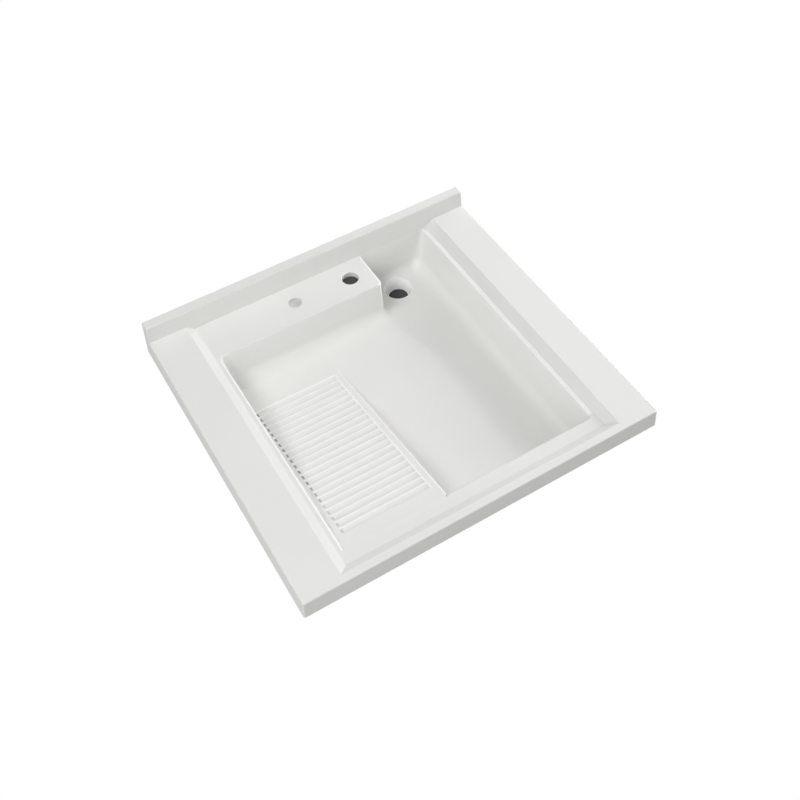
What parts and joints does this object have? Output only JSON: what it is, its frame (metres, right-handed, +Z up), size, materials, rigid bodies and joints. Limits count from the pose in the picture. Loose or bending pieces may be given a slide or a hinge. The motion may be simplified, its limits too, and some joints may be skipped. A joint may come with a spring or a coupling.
{
  "type": "laundry countertop basin",
  "caption": "Cast-stone laundry countertop basin with a deep L-shaped bowl, a built-in inclined washboard, a tap ledge, a drain bay, a rear upstand and hanging edge aprons.",
  "frame": {"origin": "plan centre of the top, on the plane of the apron feet and batten undersides where it sits on the cabinet", "axes": "+X to the user's right along the front edge, +Y towards the wall, +Z up"},
  "size_m": [0.7066, 0.65, 0.1723],
  "materials": {
    "polished_composite": "satin",
    "cast_bowl": "satin",
    "raw_batten": "matte"
  },
  "bodies": {
    "root": {"deck_left": "polished_composite", "deck_right": "polished_composite", "deck_front": "polished_composite", "tray_plate": "polished_composite", "backsplash": "polished_composite", "apron_front": "polished_composite", "apron_left": "polished_composite", "apron_right": "polished_composite", "bowl_shell": "cast_bowl", "washboard_plate": "cast_bowl", "washboard_cheek": "cast_bowl", "drain_seat": "cast_bowl", "batten_left": "raw_batten", "batten_right": "raw_batten", "batten_front": "raw_batten", "rear_rail": "raw_batten"}
  },
  "joints": []
}
